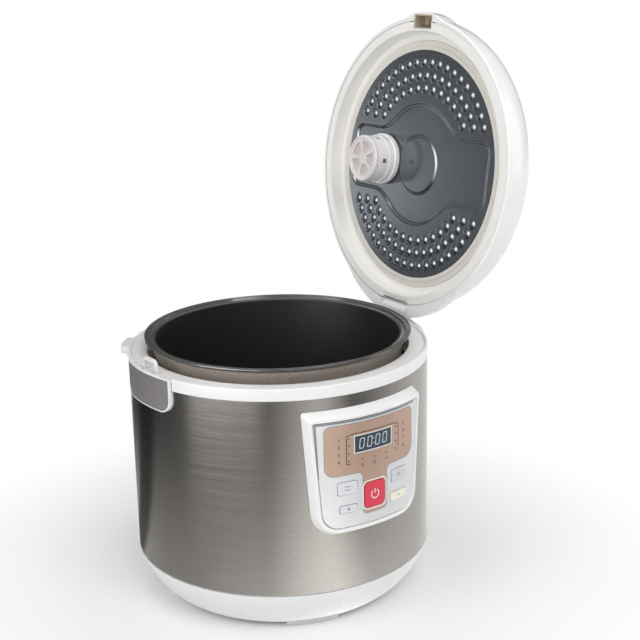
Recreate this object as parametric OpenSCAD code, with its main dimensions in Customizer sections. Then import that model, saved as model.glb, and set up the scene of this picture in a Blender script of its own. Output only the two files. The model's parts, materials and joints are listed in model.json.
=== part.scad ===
// Round electric multicooker: steel-sleeved body, hinged domed lid, lift-out pot
// and a raised control panel.  Millimetres.  +Z is up, the feet stand on z = 0 and
// the body axis is x = y = 0.  The control panel faces -Y, the lid hinge is at +X
// and the lid latch is at -X.  The lid is drawn open, as it stands on its stop.

/* [Body] */
// Radius of the steel sleeve
body_r = 144; // [143:0.5:145]
// Height of the lower edge of the sleeve
sleeve_bottom_z = 45.5; // [44:0.5:47]
// Height of the upper edge of the sleeve
sleeve_top_z = 232; // [230:0.5:232]
// Thickness of the steel sheet
sheet = 0.8; // [0.6:0.1:1]
// Wall thickness of the white mouldings
wall = 2.6; // [2:0.1:3]
// Height of the underside above the table
foot_h = 3; // [2:0.5:3]

/* [Pot] */
// Outer radius of the rim of the pot
pot_rim_r = 128.8; // [127:0.2:129]
// Height of the rim of the pot
pot_rim_z = 255.7; // [255:0.1:256]
// Outer radius of the wall of the pot
pot_r = 119.6; // [118:0.2:120]
// Depth of the pot
pot_depth = 150; // [140:1:152]

/* [Lid] */
// Angle between the closed lid and the open lid
lid_open = 97.5; // [0:0.5:97.5]
// Radius of the lid at its rim
lid_r = 144.2; // [144:0.1:144.4]
// Height of the dome above the rim
dome_h = 66; // [64:1:68]
// Height of the rim plane of the closed lid
rim_z = 243.8; // [243.6:0.1:244]
// Distance of the hinge pin from the body axis
hinge_x = 147.9; // [147.5:0.1:148.2]
// Height of the hinge pin
hinge_z = 250; // [249.8:0.1:250.2]
// Radius of the inner plate
plate_r = 114; // [113:0.5:114]

/* [Panel] */
// Radius of the crest of the panel bezel, measured from the body axis
panel_r = 153.5; // [152.5:0.5:154]
// Half width of the bezel at its top edge
panel_half_w = 66.4; // [64:0.2:67]
// Half width of the bezel at its lower corners
panel_half_w_low = 60; // [56:0.5:62]
// Height of the top edge of the bezel
panel_top_z = 220.2; // [216:0.2:221]
// Height of the bottom edge of the bezel
panel_bottom_z = 101; // [98:0.5:104]
// Radius of the lower corners of the bezel
panel_corner = 25; // [20:1:28]

/* [Latch] */
// Half angle of the latch button seen from the body axis
latch_half_az = 15.5; // [14:0.5:16]
// Height of the lower edge of the latch button
latch_bottom_z = 210; // [208:1:214]
// Height of the top of the latch loop
loop_top_z = 253; // [252.6:0.1:253.4]

/* [Hidden] */
$fn = 96;

white = [0.93, 0.93, 0.92];
cream = [0.90, 0.89, 0.85];
steel = [0.62, 0.60, 0.57];
slate = [0.30, 0.32, 0.36];
copper = [0.80, 0.66, 0.58];

curve_steps = 22;        // chords in a quarter of a moulded curve
eps = 0.01;              // overlap that keeps a cut open

// base moulding
base_r = body_r + 0.3;
base_top_z = sleeve_bottom_z - 1;
base_corner_w = 31.7;    // width of the rounded corner under the body
base_bend = 1.433;       // exponent of that corner
plate_seat_r = 108.3;    // recess for the bottom plate
foot_half_az = 12.5;
foot_az = [-20, 70, 160, -110];
screw_az = [25, 115, 205, 295];
screw_r = 100;

// ring and well
ring_r = body_r + 0.5;
ring_top_z = 241.2;
ring_wall_r = 139.6;      // inside of the ring's outer wall
ring_in_r = 126;
liner_r = 124.4;
liner_floor_z = 80;
bracket_az = [70, 160, 250, 340];
hot_top_z = pot_rim_z - pot_depth - 2.5;
sensor_r = 19;
element_r = 60;          // radius of the heating element's loop
terminal_a = [20, 340];

// lid
bulge_r = lid_r + 1.2;   // widest radius of the lid
dome_bend = 0.769;       // exponent of the dome
dome_wall = 2.4;
dome_z = rim_z + 2.6;    // where the dome starts
plate_z = rim_z + 11.4;  // lowest face of the inner plate
plate_step = 1.6;        // depth of its sunk middle
valve_y = 54;            // the steam valve stands off the lid centre
arm_half = 12;           // foot of the hinge arm, half width
barrel_half = 19.6;      // hinge barrel, half width
flare_x = 41;            // centre and radius of the lid's flare over the hinge
flare_r = 114.4;
bump_x = -89.6;          // centre and radius of the lid's bump over the latch
bump_r = 60.4;
slot_half = 20.5;        // slot for the arm in the lid, half width
pin_r = 2.5;

// control panel
overlay_r = panel_r - 1.1;
tray_r = overlay_r - 1;
inset_crest = 5.6;
inset_face = 8.3;
panel_pitch = 153;       // radius at which widths across the panel are measured
window_x = 20;
window_z = 187.4;
board_y = -135.1;
key_travel = 0.8;
// keys: [x, z, width, height, corner radius]
key_start_at = [0.6, 136.4, 22.6, 24, 4];
key_lu_at = [-27.7, 147.6, 19.4, 12, 2];
key_ll_at = [-27, 127.6, 17, 7, 1.5];
key_ru_at = [29.4, 147, 18, 11.4, 1.5];
key_rl_at = [29, 126.6, 20.4, 8.6, 1.2];
keys = [key_start_at, key_lu_at, key_ll_at, key_ru_at, key_rl_at];

// latch
latch_r = 146.8;         // outer face of the button
latch_w = latch_r * sin(latch_half_az);
pivot_r = 142;
pivot_z = 236.5;
pivot_pin_r = 1.5;
loop_half = 12;          // outer half width of the loop
loop_bar = 2.6;
loop_in_half = loop_half - loop_bar;
loop_in_r = 137;
loop_t = 3;

// ---------- helpers ----------

// Turns what faces -Y to an azimuth, counted from -Y towards +X
module facing(az) { rotate([0, 0, az]) children(); }

// Round tube about the body axis
module tube(r_in, r_out, z0, z1) {
  rotate_extrude() translate([r_in, z0]) square([r_out - r_in, z1 - z0]);
}

// Part of a tube, centred on azimuth 0
module tube_arc(r_in, r_out, z0, z1, half_az) {
  rotate([0, 0, -90 - half_az]) rotate_extrude(angle = 2 * half_az)
    translate([r_in, z0]) square([r_out - r_in, z1 - z0]);
}

// Box from its lowest and highest corners
module block(low, high) { translate(low) cube(high - low); }

// Cylinder along Y between two places
module rod_y(r, y0, y1) { translate([0, y1, 0]) rotate([90, 0, 0]) cylinder(r = r, h = y1 - y0); }

// Extrudes an outline drawn in x and z along Y
module slab_y(y0, y1) { translate([0, y1, 0]) rotate([90, 0, 0]) linear_extrude(y1 - y0) children(); }

// Rectangle with round corners, from squares and circles
module round_rect(w, h, r) {
  square([w - 2 * r, h], center = true);
  square([w, h - 2 * r], center = true);
  for (x = [-1, 1], y = [-1, 1]) translate([x * (w / 2 - r), y * (h / 2 - r)]) circle(r, $fn = 32);
}

// Puts the pieces of the closed lid where the open lid has them
module lid_pose() {
  translate([hinge_x, 0, hinge_z]) rotate([0, lid_open, 0]) translate([-hinge_x, 0, -hinge_z]) children();
}

// Wire coil about the Z axis, as a swept ring of points
module coil(radius, wire, height, turns) {
  sides = 6;
  per_turn = 12;
  rings = turns * per_turn;
  rise = height / turns;
  points = [for (i = [0:rings]) let (a = 360 * i / per_turn) for (s = [0:sides - 1])
    let (b = 360 * s / sides, r = radius + wire * cos(b))
    [r * cos(a), r * sin(a), rise * i / per_turn + wire * sin(b)]];
  skin = [for (i = [0:rings - 1], s = [0:sides - 1]) let (n = (s + 1) % sides)
    [i * sides + s, i * sides + n, (i + 1) * sides + n, (i + 1) * sides + s]];
  start = [[for (s = [sides - 1:-1:0]) s]];
  end = [[for (s = [0:sides - 1]) rings * sides + s]];
  polyhedron(points, concat(skin, start, end));
}

// ---------- base ----------

function base_curve(inset) = [for (i = [0:curve_steps]) let (t = 90 * i / curve_steps,
    w = base_corner_w - inset, h = base_top_z - foot_h - inset)
  [base_r - base_corner_w + w * pow(cos(t), base_bend), base_top_z - h * pow(sin(t), base_bend)]];

module base_solid() {
  rotate_extrude() polygon(concat([[0, base_top_z]], base_curve(0), [[0, foot_h]]));
}

module inlet_boss(grow) {
  block([-19 - grow, 104, 13 - grow], [19 + grow, 140, min(43 + grow, base_top_z - 0.3)]);
}

module base_shell() {
  floor_z = foot_h + 2.1;
  color(white) difference() {
    union() {
      rotate_extrude() polygon(concat(base_curve(0), [[plate_seat_r, foot_h], [plate_seat_r, floor_z],
        [92, floor_z], [92, floor_z + wall]], [for (i = [curve_steps:-1:0]) base_curve(wall)[i]],
        [[base_r - 3.4, base_top_z + 5], [base_r - 1.3, base_top_z + 5], [base_r - 1.3, base_top_z]]));
      for (az = screw_az) facing(az) translate([0, -screw_r, floor_z + 1]) cylinder(r = 4.2, h = 11);
      inlet_boss(0);
    }
    for (az = screw_az) facing(az) translate([0, -screw_r, floor_z - 1]) cylinder(r = 1.7, h = 12);
    block([-15.3, 100, 16.7], [15.3, 141, 39.3]);
  }
}

module bottom_plate() {
  color([0.86, 0.86, 0.85]) difference() {
    union() {
      translate([0, 0, foot_h]) cylinder(r = plate_seat_r - 0.3, h = 2);
      for (x = [-48, 48], y = [-28, 28]) translate([x, y, foot_h + 1]) cylinder(r = 3.4, h = 14);
    }
    for (az = screw_az) facing(az) translate([0, -screw_r, 0]) {
      cylinder(r = 1.9, h = 12);
      translate([0, 0, foot_h - eps]) cylinder(r = 3.6, h = 1.1);
    }
    for (a = [0:15:345]) rotate([0, 0, a]) block([-1.6, 66, 0], [1.6, 88, 12]);
    for (a = [0:30:330]) rotate([0, 0, a + 15]) block([-1.6, 36, 0], [1.6, 50, 12]);
  }
}

module feet() {
  color([0.80, 0.80, 0.79]) difference() {
    for (az = foot_az) facing(az) tube_arc(plate_seat_r + 0.6, 115.6, 0, 6.5, foot_half_az);
    base_solid();
  }
}

module base_screws() {
  color("silver") for (az = screw_az) facing(az) translate([0, -screw_r, foot_h]) difference() {
    union() {
      translate([0, 0, 0.1]) cylinder(r = 3.3, h = 0.9);
      cylinder(r = 1.6, h = 12);
    }
    for (a = [0, 90]) rotate([0, 0, a]) translate([0, 0, 0.2]) cube([4, 0.8, 0.9], center = true);
  }
}

// ---------- body ----------

module body_sleeve() {
  color(steel) difference() {
    tube(body_r - sheet, body_r, sleeve_bottom_z, sleeve_top_z);
    slab_y(-160, -100) polygon(panel_outline(10));
    // opening that the latch button dips into
    facing(-90) slab_y(-160, -120) latch_face(-0.5);
  }
}

// Space that the turning hinge block sweeps in the ring
module hinge_saddle() {
  translate([hinge_x, 0, hinge_z]) rod_y(9.8, -54, 54);
}

module ring_profile() {
  polygon([[ring_r - 0.2, sleeve_top_z], [ring_r, 240.4], [ring_r - 0.3, 242.3], [ring_r - 1, 243],
    [ring_r - 1.9, 243], [ring_r - 2.7, 242.2], [ring_r - 3.8, ring_top_z], [131, ring_top_z - 0.2],
    [128.4, ring_top_z + 0.5],
    [126.6, ring_top_z + 0.3], [ring_in_r, ring_top_z - 0.8], [ring_in_r, 226], [128.4, 226],
    [128.4, 238.2], [ring_wall_r, 238.2], [ring_wall_r, 224], [143.1, 224], [143.1, sleeve_top_z]]);
}

// Flare of the ring under the lid hinge
module ring_flare() {
  half = 66;
  edge = [for (i = [-16:16]) let (v = half * i / 16)
    [sqrt(ring_r * ring_r - v * v) + 8.6 * pow(cos(90 * i / 16), 0.8), v]];
  translate([0, 0, sleeve_top_z]) difference() {
    linear_extrude(9) polygon(concat(edge, [[120, half], [120, -half]]));
    translate([0, 0, -1]) cylinder(r = ring_wall_r + 2.4, h = 20);
  }
}

module top_ring() {
  color(white) difference() {
    union() {
      rotate_extrude() ring_profile();
      ring_flare();
    }
    difference() {
      hinge_saddle();
      block([130, -arm_half, 230], [160, arm_half, 262]);
    }
    latch_cuts();
    block([130, -arm_half - 0.4, 241], [160, arm_half + 0.4, 262]);
  }
  color(white) hinge_arm();
}

// Arm that carries the hinge pin, moulded on the ring
module hinge_arm() {
  difference() {
    union() {
      translate([hinge_x, 0, hinge_z]) rod_y(6.8, -barrel_half, barrel_half);
      block([hinge_x - 5, -arm_half, 240.9], [hinge_x + 5, arm_half, hinge_z - 2]);
    }
    translate([hinge_x, 0, hinge_z]) rod_y(pin_r + 0.06, -20, 20);
    // seats of the lid springs
    for (y = [-20, 12.6]) translate([hinge_x, 0, hinge_z]) rod_y(5.2, y, y + 7.4);
  }
}

// Round bar or bore along the latch's axis
module pivot_bore(r, length) {
  translate([0, -pivot_r, pivot_z]) rotate([0, 90, 0]) cylinder(r = r, h = length, center = true);
}

// Pocket, arm slots and bores for the latch
module latch_cuts() {
  facing(-90) {
    intersection() {
      union() {
        tube(ring_r - 0.5, 160, 223, 260);
        tube(ring_wall_r + 2, 160, 223, 232);
        tube(ring_r - 3, 160, 241, 260);
      }
      block([-latch_w - 0.5, -160, 220], [latch_w + 0.5, -100, 261]);
    }
    for (side = [-1, 1]) {
      x = side * (loop_half - loop_bar / 2);
      block([x - loop_bar / 2 - 0.5, -160, 231], [x + loop_bar / 2 + 0.5, -loop_in_r + 2, 250]);
    }
    block([-5, -146.3, 225], [5, -139, 240]);
    pivot_bore(pivot_pin_r + 0.02, 30);
  }
}

module spoon_holder_lug() {
  lug_az = -130.5;
  lug_r = 153.2;
  lug_top_z = 240.6;
  color(cream) facing(lug_az) difference() {
    union() {
      intersection() {
        tube_arc(ring_r + 0.1, lug_r, lug_top_z - 8, lug_top_z, 6.4);
        translate([0, -ring_r, 230]) cylinder(r = 15, h = 20);
      }
      tube_arc(ring_r + 0.1, ring_r + 2.4, lug_top_z - 9, lug_top_z, 7.6);
    }
    block([-9, -lug_r + 1.8, 230], [9, -lug_r + 5, lug_top_z - 2.6]);
  }
}

// ---------- pot and heating ----------

function pot_wall(r, z_low, corner) = [for (i = [0:8]) let (t = 90 * i / 8)
  [r - corner + corner * sin(t), z_low + corner - corner * cos(t)]];

module inner_pot() {
  in_z = pot_rim_z - pot_depth;
  in_r = pot_r - 2.4;
  shelf_z = pot_rim_z - 3.2;
  color([0.28, 0.26, 0.24]) rotate_extrude() polygon(concat(
    [[0, in_z - 2]], pot_wall(pot_r, in_z - 2, 26),
    [[pot_r, shelf_z - 8], [121.6, shelf_z - 2.4], [pot_rim_r - 1, pot_rim_z - 2.2],
     [pot_rim_r, pot_rim_z - 1.2],
     [pot_rim_r - 0.5, pot_rim_z], [127.2, pot_rim_z], [126.4, pot_rim_z - 1.1], [125.2, pot_rim_z - 1.1],
     [124.4, pot_rim_z - 0.2], [123.2, pot_rim_z - 0.2], [121.6, shelf_z + 0.8], [119.6, shelf_z],
     [in_r + 0.6, shelf_z], [in_r, shelf_z - 1.4]],
    [for (i = [8:-1:0]) pot_wall(in_r, in_z, 24)[i]], [[0, in_z]]));
}

module inner_liner() {
  color([0.72, 0.72, 0.70]) difference() {
    rotate_extrude() polygon([[34, liner_floor_z], [liner_r - 5, liner_floor_z], [liner_r, liner_floor_z + 5],
      [liner_r, 225], [128.2, 225], [128.2, 226], [liner_r - 0.8, 226],
      [liner_r - 0.8, liner_floor_z + 5.4], [liner_r - 5.4, liner_floor_z + 0.8], [34, liner_floor_z + 0.8]]);
    for (az = bracket_az) facing(az) translate([0, -76, 70]) cylinder(r = 1.7, h = 20);
    for (a = terminal_a) rotate([0, 0, a]) translate([element_r, 0, 70]) cylinder(r = 3.4, h = 20);
  }
}

module liner_brackets() {
  floor_z = foot_h + 2.1 + wall;
  color("gray") for (az = bracket_az) facing(az) {
    block([-8, -100, floor_z], [8, -94, floor_z + 1.2]);
    block([-8, -95.2, floor_z], [8, -94, liner_floor_z]);
    block([-8, -95.2, liner_floor_z - 1.2], [8, -80, liner_floor_z]);
  }
}

module heating_plate() {
  color([0.66, 0.66, 0.66]) difference() {
    union() {
      rotate_extrude() polygon([[sensor_r + 1, hot_top_z], [84, hot_top_z], [88, hot_top_z - 3],
        [88, hot_top_z - 7], [72, hot_top_z - 11], [sensor_r + 1, hot_top_z - 11]]);
      for (az = bracket_az) facing(az) translate([0, -76, liner_floor_z + 0.8]) cylinder(r = 5, h = 16);
    }
    rotate_extrude() translate([element_r, hot_top_z - 11]) circle(4.1, $fn = 48);
  }
}

module heating_element() {
  color([0.35, 0.34, 0.33]) {
    rotate([0, 0, terminal_a[0]]) rotate_extrude(angle = terminal_a[1] - terminal_a[0])
      translate([element_r, hot_top_z - 11]) circle(4, $fn = 48);
    for (a = terminal_a) rotate([0, 0, a]) translate([element_r, 0, hot_top_z - 31])
      cylinder(r = 1.6, h = 17);
  }
}

module sensor_guide() {
  z = hot_top_z - 18;
  color("silver") difference() {
    union() {
      block([-30, -6, z], [30, 6, z + 1.5]);
      for (x = [-30, 28.5]) block([x, -6, z], [x + 1.5, 6, hot_top_z - 11]);
    }
    translate([0, 0, z - 1]) cylinder(r = 4.06, h = 4);
  }
}

module sensor_button() {
  top_z = hot_top_z + 0.2;
  color([0.80, 0.80, 0.79]) {
    rotate_extrude() polygon([[0, top_z], [sensor_r - 1.5, top_z], [sensor_r, top_z - 1.5],
      [sensor_r, top_z - 6], [sensor_r - 1, top_z - 6], [sensor_r - 1, top_z - 2], [4, top_z - 2],
      [4, top_z - 24], [0, top_z - 24]]);
  }
}

module sensor_spring() {
  color("silver") translate([0, 0, hot_top_z - 15.7]) coil(8, 0.6, 12.9, 5);
}

module thermal_fuse() {
  color([0.75, 0.72, 0.62]) translate([44, 0, hot_top_z - 13.05]) {
    rod_y(2, -6, 6);
    rod_y(0.5, -15, 15);
  }
}

module power_board() {
  color([0.20, 0.42, 0.28]) block([-56, -36, foot_h + 15], [56, 36, foot_h + 16.6]);
}

module power_components() {
  z = foot_h + 16.6;
  color([0.16, 0.16, 0.18]) {
    block([-50, -30, z], [-14, 2, z + 28]);
    block([-8, -32, z], [12, -14, z + 16]);
    block([24, -32, z], [50, -20, z + 12]);
    translate([32, 14, z]) cylinder(r = 9, h = 24);
    translate([-4, 18, z]) cylinder(r = 6, h = 14);
  }
}

module inlet_socket() {
  color([0.12, 0.12, 0.13]) difference() {
    block([-15, 112, 17], [15, 140.6, 39]);
    block([-12.3, 122.5, 19.6], [12.3, 150, 36.4]);
    inlet_blades();
  }
}

module inlet_blades() {
  for (x = [-7, 7]) block([x - 2, 108, 25.2], [x + 2, 134.4, 27.2]);
  block([-2, 108, 30.6], [2, 134.4, 32.6]);
}

module inlet_pins() {
  color("silver") inlet_blades();
}

// ---------- control panel ----------

// Arc of points about a centre, from one angle to another
function arc(cx, cz, r, a0, a1, n) = [for (i = [0:n]) let (a = a0 + (a1 - a0) * i / n)
  [cx + r * cos(a), cz + r * sin(a)]];
function span(x0, x1, z, n) = [for (i = [1:n - 1]) [x0 + (x1 - x0) * i / n, z]];

// Outline of the panel in x and z, pulled in by an inset
function panel_outline(inset) = let (w = panel_half_w - inset, wl = panel_half_w_low - inset,
    top = panel_top_z - inset, low = panel_bottom_z + inset,
    rt = max(1.2, 2.6 - inset / 5), rl = panel_corner - inset)
  concat(
    span(-wl + rl, wl - rl, low, 10),
    arc(wl - rl, low + rl, rl, -90, 0, 8),
    arc(w - rt, top - rt, rt, 0, 90, 4),
    span(w - rt, -w + rt, top, 14),
    arc(-w + rt, top - rt, rt, 90, 180, 4),
    arc(-wl + rl, low + rl, rl, 180, 270, 8));

// Outline point at a radius from the body axis
function on_panel(p, r) = let (az = asin(p[0] / panel_pitch)) [r * sin(az), -r * cos(az), p[1]];

module panel_bezel() {
  section = [[0, body_r + 0.1], [inset_crest - 1, panel_r - 1], [inset_crest, panel_r],
    [inset_face - 0.9, panel_r], [inset_face - 0.2, panel_r - 0.6], [inset_face, tray_r - 2.2],
    [inset_crest, tray_r - 2.2], [2.6, body_r + 0.1]];
  count = len(panel_outline(0));
  sides = len(section);
  points = [for (s = section) for (p = panel_outline(s[0])) on_panel(p, s[1])];
  skin = [for (k = [0:sides - 1], i = [0:count - 1]) let (k2 = (k + 1) % sides, j = (i + 1) % count)
    [k * count + i, k * count + j, k2 * count + j, k2 * count + i]];
  color(white) polyhedron(points, skin);
}

// A key or its hole, square to the panel: [x, z, width, height, corner radius]
module key_prism(k, grow) {
  az = asin(k[0] / overlay_r);
  facing(az) slab_y(-160, -144) translate([0, k[1]])
    round_rect(k[2] + 2 * grow, k[3] + 2 * grow, k[4] + grow);
}

// Band between two outlines of the panel
module panel_rim(outer_inset, inner_inset) {
  difference() {
    polygon(panel_outline(outer_inset));
    polygon(panel_outline(inner_inset));
  }
}

module panel_carrier() {
  color([0.55, 0.56, 0.58]) difference() {
    union() {
      intersection() {
        tube(tray_r - 2, tray_r, 90, 230);
        slab_y(-160, -100) polygon(panel_outline(inset_face + 1.6));
      }
      // rim that the bezel clamps from in front
      intersection() {
        tube(tray_r - 4.2, tray_r - 2.45, 90, 230);
        slab_y(-160, -100) panel_rim(inset_crest + 1.9, inset_face + 4.6);
      }
      intersection() {
        tube(tray_r - 4.2, tray_r - 1, 90, 230);
        slab_y(-160, -100) panel_rim(inset_face + 1.6, inset_face + 4.6);
      }
      for (x = [-41.5, 41.5], z = [117.6, 200]) translate([x, 0, z]) rod_y(3, -143.9, board_y);
    }
    for (k = keys) key_prism(k, 0.6);
    slab_y(-160, -144) translate([0, window_z]) square([2 * window_x + 1.4, 17.4], center = true);
  }
}

module panel_overlay() {
  color(copper) difference() {
    intersection() {
      tube(tray_r + 0.05, overlay_r, 90, 230);
      slab_y(-160, -100) polygon(panel_outline(inset_face + 0.8));
    }
    for (k = keys) key_prism(k, 0.5);
    slab_y(-160, -144) translate([0, window_z]) square([2 * window_x + 0.4, 16.4], center = true);
  }
}

module display_window() {
  color([0.15, 0.18, 0.24]) intersection() {
    tube(tray_r - 1.8, overlay_r - 0.1, 170, 205);
    slab_y(-160, -144) translate([0, window_z]) square([2 * window_x, 16], center = true);
  }
}

module display_module() {
  color([0.90, 0.90, 0.90]) difference() {
    block([-23, -143.6, 177], [23, board_y, 198]);
    for (x = [-11.5, 0, 11.5]) block([x - 4, -144, 181], [x + 4, -142.8, 194]);
  }
}

module control_board() {
  color([0.20, 0.42, 0.28]) block([-45.5, board_y, 112], [45.5, board_y + 1.6, 206]);
}

module key_switches() {
  color([0.15, 0.15, 0.16]) for (k = keys) {
    x = k[0] * 0.93;
    block([x - 3, board_y - 3.4, k[1] - 3], [x + 3, board_y, k[1] + 3]);
    translate([x, 0, k[1]]) rod_y(1.6, board_y - 4.2, board_y - 3.2);
  }
}

// One key: cap, retaining flange behind the panel and plunger
module panel_key(k) {
  az = asin(k[0] / overlay_r);
  intersection() {
    tube(146.6, overlay_r + 0.6, 90, 230);
    key_prism(k, 0);
  }
  intersection() {
    tube(146.6, tray_r - 2.3, 90, 230);
    key_prism(k, 1.5);
  }
  // the plunger stops just above the switch when the key is fully in
  end_r = (4.5 - board_y + 2 * sin(abs(az))) / cos(az) + key_travel;
  facing(az) translate([0, 0, k[1]]) rod_y(2, -147.5, -end_r);
}

module key_start() { color([0.88, 0.20, 0.28]) panel_key(key_start_at); }
module key_left_upper() { color([0.86, 0.86, 0.88]) panel_key(key_lu_at); }
module key_left_lower() { color([0.82, 0.82, 0.84]) panel_key(key_ll_at); }
module key_right_upper() { color([0.78, 0.80, 0.84]) panel_key(key_ru_at); }
module key_right_lower() { color([0.93, 0.92, 0.84]) panel_key(key_rl_at); }

// ---------- latch ----------

// Face of the latch button: straight top, large round lower corners
module latch_face(shrink) {
  w = latch_w - shrink;
  r = 13 - shrink;
  top = 242.9;
  low = latch_bottom_z + shrink;
  translate([-w, low + r]) square([2 * w, top - low - r]);
  translate([-w + r, low]) square([2 * (w - r), r + 1]);
  for (x = [-1, 1]) translate([x * (w - r), low + r]) circle(r, $fn = 48);
}

module latch_lever() {
  color(white) facing(-90) difference() {
    union() {
      intersection() {
        tube(latch_r - 2, latch_r, 205, 243);
        slab_y(-160, -120) latch_face(0);
      }
      // turned-in edge below the ring
      intersection() {
        tube(143, latch_r - 1, 205, 231);
        slab_y(-160, -120) difference() {
          latch_face(0);
          latch_face(2);
        }
      }
      for (side = [-1, 1]) {
        x = side * (loop_half - loop_bar / 2);
        block([x - loop_bar / 2, -latch_r + 1.5, 233.2], [x + loop_bar / 2, -loop_in_r, 239.8]);
      }
      slab_y(-loop_in_r - loop_t, -loop_in_r) difference() {
        union() {
          translate([-loop_half, 236]) square([2 * loop_half, loop_top_z - 242]);
          translate([-loop_half + 6, 240]) square([2 * loop_half - 12, loop_top_z - 240]);
          for (x = [-1, 1]) translate([x * (loop_half - 6), loop_top_z - 6]) circle(6, $fn = 48);
        }
        translate([-loop_in_half, 230]) square([2 * loop_in_half, loop_top_z - 236]);
        translate([-loop_in_half + 3, 230]) square([2 * (loop_in_half - 3), loop_top_z - 233]);
        for (x = [-1, 1]) translate([x * (loop_in_half - 3), loop_top_z - 6]) circle(3, $fn = 48);
      }
    }
    pivot_bore(pivot_pin_r + 0.06, 40);
  }
}

module latch_pin() {
  color("silver") facing(-90) pivot_bore(pivot_pin_r, 28);
}

module latch_spring() {
  color("silver") facing(-90) translate([-3.6, -pivot_r, pivot_z]) rotate([0, 90, 0]) coil(2.05, 0.4, 7.2, 5);
}

// ---------- hinge ----------

module hinge_springs() {
  color("silver") translate([hinge_x, 0, hinge_z]) for (y0 = [13.4, -19])
    translate([0, y0 + 5.6, 0]) rotate([90, 0, 0]) coil(4.1, 0.6, 5.6, 4);
}

module hinge_pin() {
  color("silver") lid_pose() translate([hinge_x, 0, hinge_z]) rod_y(pin_r, -28, 28);
}

// ---------- lid ----------

function dome_curve(inset) = [for (i = [0:curve_steps]) let (t = 90 * i / curve_steps)
  [(bulge_r - inset) * pow(cos(t), dome_bend),
   dome_z + (dome_h - 2.6 - inset) * pow(sin(t), dome_bend)]];

module dome_inner() {
  rotate_extrude() polygon(concat([[0, rim_z - 1], [lid_r - 3.2, rim_z - 1]], dome_curve(dome_wall)));
}

module dome_outer() {
  rotate_extrude() polygon(concat([[0, rim_z], [lid_r, rim_z], [bulge_r, rim_z + 1.3]], dome_curve(0)));
}

// Turned solid that swells out of the lid beside its own centre
module swelling(x, r, drops) {
  translate([x, 0, rim_z]) rotate_extrude()
    polygon(concat([[0, 0]], [for (d = drops) [r - d[0], d[1]]], [[0, drops[len(drops) - 1][1]]]));
}

// Flare over the hinge: [distance inside the widest place, height above the rim]
module hinge_block() {
  swelling(flare_x, flare_r, [[1.2, 0], [0.2, 1.6], [0, 6.2], [0.6, 10], [1.9, 13.4], [4.2, 16.8], [7.6, 20],
    [12, 22.8], [17.6, 25.2]]);
}

// Low bump over the latch recess
module latch_bump() {
  swelling(bump_x, bump_r, [[0.8, 0], [0, 1.4], [0, 14.6], [0.5, 16.6], [1.8, 18.8], [4.2, 21],
    [8, 23.2], [13, 25]]);
}

// Pocket of the lid that takes the hinge arm
module hinge_slot(grow, low) {
  block([137.5 - grow, -slot_half - grow, low], [170, slot_half + grow, hinge_z + 10.5 + grow]);
}

module keeper_recess(grow) {
  block([-147.2 - grow, -13.6 - grow, rim_z - 1], [-133.8 + grow, 13.6 + grow, 258.6 + grow]);
}

module lid_shell() {
  cup_r = 33;
  color(white) lid_pose() difference() {
    union() {
      difference() {
        union() {
          dome_outer();
          hinge_block();
          latch_bump();
        }
        dome_inner();
      }
      // walls of the pocket for the hinge arm
      intersection() {
        union() {
          dome_outer();
          hinge_block();
        }
        hinge_slot(1.6, rim_z + 2.8);
      }
      intersection() {
        dome_outer();
        translate([0, valve_y, 299]) cylinder(r = cup_r, h = 20);
      }
    }
    translate([0, valve_y, 301.2]) cylinder(r = cup_r - 2, h = 20);
    translate([0, valve_y, 290]) cylinder(r = 12.5, h = 20);
    hinge_slot(0, rim_z - 1);
    translate([hinge_x, 0, hinge_z]) rod_y(pin_r + 0.02, -28.4, 28.4);
    keeper_recess(0.2);
  }
}

module lid_frame() {
  top_z = rim_z + 14.6;
  color(cream) lid_pose() difference() {
    rotate_extrude() polygon([[0, top_z], [123.6, top_z], [123.6, 256.5], [129.6, 256.5], [130.6, 252],
      [132.3, rim_z], [140.8, rim_z], [140.8, 252.4], [138.4, 252.4], [138.4, rim_z + 2.6],
      [134.9, rim_z + 2.6], [132.4, top_z + 2.2], [0, top_z + 2.2]]);
    translate([0, valve_y, 250]) cylinder(r = 17.2, h = 20);
    hinge_slot(0, rim_z - 1);
    hinge_slot(1.8, rim_z + 2.6);
    // steps at the edge of the hinge pocket
    for (i = [0, 1]) block([134 + 1.8 * i, -slot_half, rim_z - 1], [140, slot_half, rim_z + 0.9 * (i + 1)]);
    keeper_recess(0.2);
  }
}

// Angles of one row of drip bumps on both sides of the plate
function row_angles(count, step) = [for (side = [0, 180], i = [0:count - 1])
  side + step * (i - (count - 1) / 2)];

module bump_row(radius, count, step) {
  ball_r = 7.3;
  for (a = row_angles(count, step)) rotate([0, 0, a])
    translate([radius, 0, plate_z - 1.3 + ball_r]) sphere(ball_r, $fn = 32);
}

// Sunk middle of the plate: a round hub with a band across it
module plate_hub(h) {
  cylinder(r = 60, h = h);
  translate([-32, -94, 0]) cube([64, 188, h]);
  translate([-22, -104, 0]) cube([44, 208, h]);
  for (x = [-22, 22], y = [-94, 94]) translate([x, y, 0]) cylinder(r = 10, h = h);
}

module inner_plate() {
  color(slate) lid_pose() difference() {
    union() {
      translate([0, 0, plate_z + plate_step]) cylinder(r = plate_r, h = 1.5);
      difference() {
        translate([0, 0, plate_z]) cylinder(r = plate_r, h = 2);
        translate([0, 0, plate_z - 1]) plate_hub(6);
      }
      // raised disc in the middle
      translate([0, 0, plate_z + 0.2]) cylinder(r1 = 28, r2 = 29.6, h = 2);
      intersection() {
        translate([0, 0, plate_z - 2]) cylinder(r = plate_r - 1, h = 4.6);
        union() {
          bump_row(102.3, 20, 6.65);
          bump_row(89, 17, 7.45);
          bump_row(76.5, 13, 9);
        }
      }
    }
    translate([0, valve_y, 250]) cylinder(r = 17.2, h = 20);
  }
}

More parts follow.
